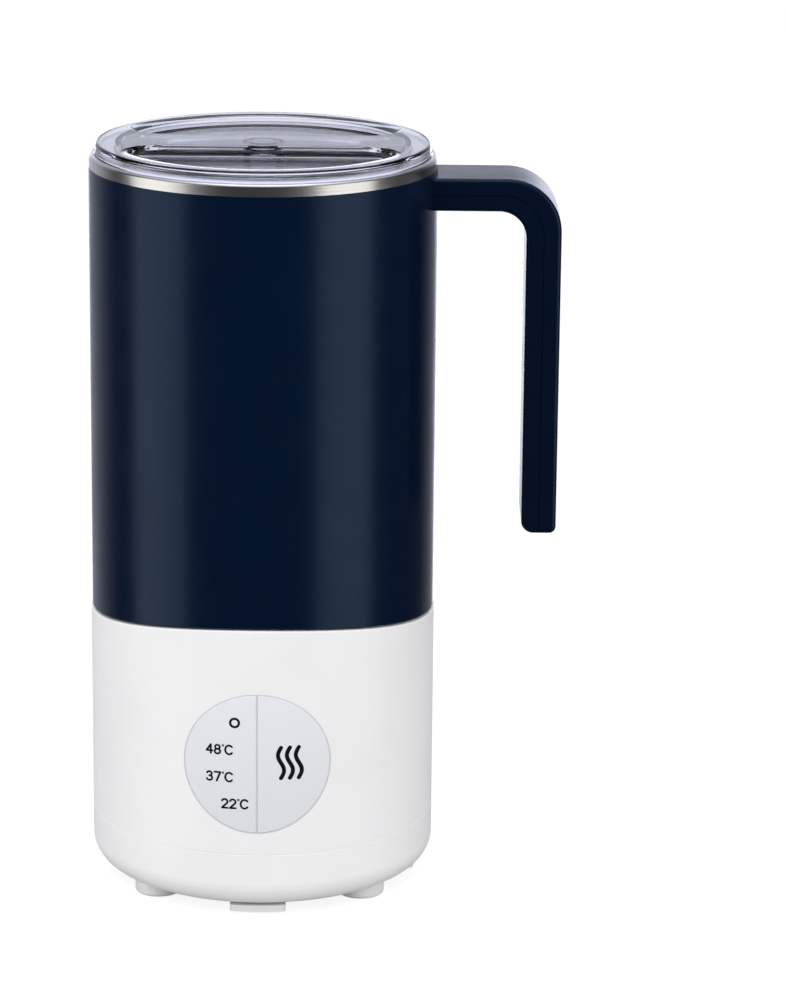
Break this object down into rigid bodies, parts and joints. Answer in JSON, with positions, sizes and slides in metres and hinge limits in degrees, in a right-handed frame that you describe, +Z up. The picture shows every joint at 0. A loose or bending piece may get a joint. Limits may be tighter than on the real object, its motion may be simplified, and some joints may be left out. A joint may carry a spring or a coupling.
{
  "type": "baby formula maker",
  "caption": "Navy insulated mixing jug with a clear lid, magnetic whisk and L-shaped handle, on a white heating base with a round two-part button panel.",
  "frame": {"origin": "on the table plane, on the axis of the round body", "axes": "+Z up along the body's axis, -Y towards the control panel, +X towards the jug's handle"},
  "size_m": [0.1493, 0.1108, 0.24],
  "materials": {
    "white_casing": "satin white",
    "navy_shell": "satin navy",
    "panel_satin": "satin pale grey-blue",
    "navy_handle": "satin navy",
    "black_plastic": "matte",
    "pale_rubber": "matte",
    "grey_silicone": "soft matte",
    "screw_steel": "zinc plated",
    "spring_steel": "plain",
    "bright_steel": "ground",
    "zinc_steel": "zinc plated",
    "sensor_metal": "turned",
    "nickel_magnet": "nickel plated",
    "bare_aluminium": "extruded",
    "copper_winding": "enamelled copper",
    "ferrite": "sintered",
    "mica": "pressed sheet",
    "black_ceramic": "smooth glass-ceramic",
    "white_nylon": "moulded",
    "circuit_board": "solder mask",
    "capacitor_sleeve": "shrink sleeve",
    "film_capacitor": "moulded",
    "led_lens": "clear",
    "steel_vessel": "brushed stainless",
    "clear_lid": "clear moulded plastic"
  },
  "bodies": {
    "base": {"base_housing": "white_casing", "bottom_cover": "white_casing", "rubber_feet": "pale_rubber", "cord_winder": "white_casing", "cover_screws": "screw_steel", "winder_screws": "screw_steel", "cord_gland": "pale_rubber", "jug_seat_plate": "black_ceramic", "seat_seal": "grey_silicone", "mica_disc": "mica", "induction_coil": "copper_winding", "ferrite_bars": "ferrite", "coil_carrier": "black_plastic", "sensor_holder": "black_plastic", "sensor_spring": "spring_steel", "motor_can": "zinc_steel", "motor_bracket": "zinc_steel", "motor_screws": "screw_steel", "bracket_screws": "screw_steel", "fan_frame": "black_plastic", "power_board": "circuit_board", "board_screws": "screw_steel", "bulk_capacitors": "capacitor_sleeve", "resonant_capacitor": "film_capacitor", "choke_coil": "copper_winding", "heatsink": "bare_aluminium", "power_transistor": "black_plastic", "button_frame": "white_casing", "control_board": "circuit_board", "control_screws": "screw_steel", "tact_switches": "black_plastic", "indicator_leds": "led_lens"},
    "sensor": {"temperature_sensor": "sensor_metal"},
    "rotor": {"motor_shaft": "bright_steel", "magnet_holder": "white_nylon", "drive_magnets": "nickel_magnet"},
    "fan": {"fan_rotor": "black_plastic"},
    "left_button": {"button_left": "panel_satin"},
    "right_button": {"button_right": "panel_satin"},
    "jug": {"jug_shell": "navy_shell", "steel_vessel": "steel_vessel", "vessel_base_disc": "bright_steel", "jug_base_ring": "black_plastic", "rim_gasket": "grey_silicone", "handle_outer_shell": "navy_handle", "handle_inner_shell": "navy_handle", "handle_bracket": "bright_steel", "handle_screws": "screw_steel"},
    "lid": {"lid_body": "clear_lid", "lid_seal": "grey_silicone", "stem_bush": "white_nylon"},
    "whisk": {"whisk_stem": "bright_steel", "stem_clip": "spring_steel", "whisk_paddle": "white_nylon", "whisk_magnets": "nickel_magnet", "magnet_cover": "white_nylon"}
  },
  "joints": [
    {"name": "jug_lift", "type": "slide", "parent": "base", "child": "jug", "axis": [0, 0, 1], "range_m": [0, 0.1]},
    {"name": "lid_lift", "type": "slide", "parent": "jug", "child": "lid", "axis": [0, 0, 1], "range_m": [0, 0.16]},
    {"name": "whisk_spin", "type": "hinge", "parent": "lid", "child": "whisk", "pos_m": [0, 0, 0.2], "axis": [0, 0, 1], "continuous": true},
    {"name": "motor_spin", "type": "hinge", "parent": "base", "child": "rotor", "pos_m": [0, 0, 0.065], "axis": [0, 0, 1], "continuous": true},
    {"name": "fan_spin", "type": "hinge", "parent": "base", "child": "fan", "pos_m": [0, 0, 0.022], "axis": [0, 0, 1], "continuous": true},
    {"name": "button_left_press", "type": "slide", "parent": "base", "child": "left_button", "axis": [0, 1, 0], "range_m": [0, 0.0006], "stiffness_N_per_m": 800, "springref_m": -0.0003},
    {"name": "button_right_press", "type": "slide", "parent": "base", "child": "right_button", "axis": [0, 1, 0], "range_m": [0, 0.0006], "stiffness_N_per_m": 800, "springref_m": -0.0003},
    {"name": "sensor_press", "type": "slide", "parent": "base", "child": "sensor", "axis": [0, 0, 1], "range_m": [-0.0012, 0], "stiffness_N_per_m": 400, "springref_m": 0.0004, "deforming": ["sensor_spring"]}
  ],
  "couplings": [
    {"joint": "whisk_spin", "follows": "motor_spin", "ratio": 1}
  ]
}
